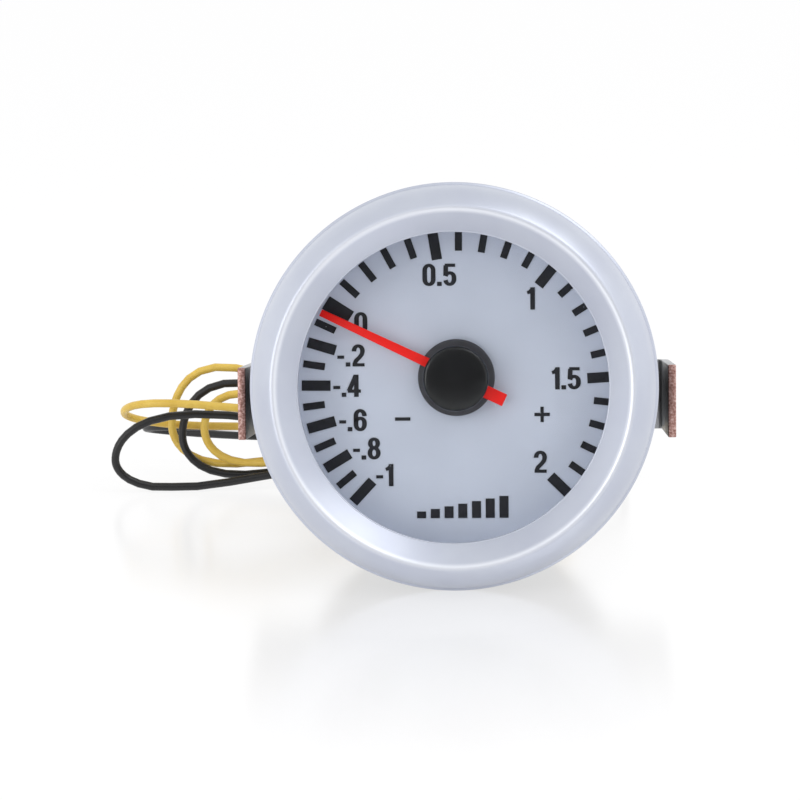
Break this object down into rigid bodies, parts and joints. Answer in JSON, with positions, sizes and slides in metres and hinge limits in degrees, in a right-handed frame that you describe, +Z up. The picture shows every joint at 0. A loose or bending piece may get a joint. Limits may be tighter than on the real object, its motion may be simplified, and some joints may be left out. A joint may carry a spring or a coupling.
{
  "type": "mechanical boost and vacuum gauge",
  "caption": "Round panel gauge with silver bezel, pressure and vacuum scale, red pointer, rear U bracket, hose nipple and tied lamp leads.",
  "frame": {"origin": "on the table, under the middle of the gauge's box without its leads", "axes": "+X to the reader's right, +Y away from the reader, from the face to the hose nipple, +Z up; the gauge leans back 7.5 degrees as it was set down"},
  "size_m": [0.0943, 0.0995, 0.0596],
  "materials": {
    "satin_silver": "satin silver-white paint",
    "clear_lens": "clear, polished",
    "black_paint": "satin black",
    "white_plastic": "matt white",
    "dial_paint": "matt pale blue-grey",
    "print_black": "matt print",
    "pointer_red": "matt signal red",
    "grey_plastic": "matt dark grey",
    "gloss_black": "polished",
    "black_rubber": "matt",
    "brass": "turned",
    "spring_bronze": "drawn",
    "plated_steel": "nickel plated",
    "zinc_steel": "zinc plated, with coppery sheared ends",
    "bulb_glass": "clear",
    "fibre_seal": "red-brown vulcanised fibre",
    "yellow_insulation": "soft satin",
    "black_insulation": "soft satin",
    "tie_plastic": "nylon",
    "tinned_copper": "tinned strands"
  },
  "bodies": {
    "gauge": {"case": "black_paint", "light_cup": "white_plastic", "socket_block": "brass", "back_screws": "plated_steel", "bourdon_tube": "brass", "rear_plate": "brass", "block_screws": "plated_steel", "plate_pillars": "brass", "hairspring": "spring_bronze", "spring_stud": "brass", "front_plate": "brass", "pillar_screws": "plated_steel", "dial_plate": "dial_paint", "scale_print": "print_black", "spacer_ring": "dial_paint", "lens_gasket": "black_rubber", "lens": "clear_lens", "bezel": "satin_silver", "lamp_bulb": "bulb_glass", "lamp_holder": "black_rubber", "bracket_studs": "plated_steel", "bracket": "zinc_steel", "spring_washers": "plated_steel", "knurled_nuts": "plated_steel", "port_seal": "fibre_seal", "hose_nipple": "brass", "yellow_lead": "yellow_insulation", "black_lead": "black_insulation", "yellow_hank": "yellow_insulation", "black_hank": "black_insulation", "lead_tie": "tie_plastic", "yellow_tip": "tinned_copper", "black_tip": "tinned_copper"},
    "pointer_arbor": {"pinion_arbor": "plated_steel", "spring_collet": "brass", "hub_disc": "grey_plastic", "pointer": "pointer_red", "hub_cap": "gloss_black"},
    "sector": {"sector_gear": "brass"},
    "link": {"link": "brass"},
    "tube_tip": {"tube_tip": "brass"}
  },
  "joints": [
    {"name": "pointer_spin", "type": "hinge", "parent": "gauge", "child": "pointer_arbor", "pos_m": [0.0003, -0.0153, 0.03032], "axis": [0, -0.9914, 0.1306], "range_deg": [-199.35, 72.85], "deforming": ["hairspring"]},
    {"name": "sector_swing", "type": "hinge", "parent": "gauge", "child": "sector", "pos_m": [0.0003, -0.00586, 0.01546], "axis": [0, -0.9914, 0.1306], "range_deg": [-9.16, 24.97]},
    {"name": "tip_swing", "type": "hinge", "parent": "gauge", "child": "tube_tip", "pos_m": [0.0101, -0.00216, 0.0351], "axis": [0, -0.9914, 0.1306], "range_deg": [-2.33, 6.28], "deforming": ["bourdon_tube"]},
    {"name": "link_turn", "type": "hinge", "parent": "sector", "child": "link", "pos_m": [0.00231, -0.0053, 0.01132], "axis": [0, -0.9914, 0.1306], "range_deg": [-25.82, 9.47]}
  ],
  "couplings": [
    {"joint": "sector_swing", "follows": "pointer_spin", "ratio": -0.125},
    {"joint": "tip_swing", "follows": "pointer_spin", "ratio": -0.03125},
    {"joint": "link_turn", "follows": "pointer_spin", "ratio": 0.12925}
  ]
}
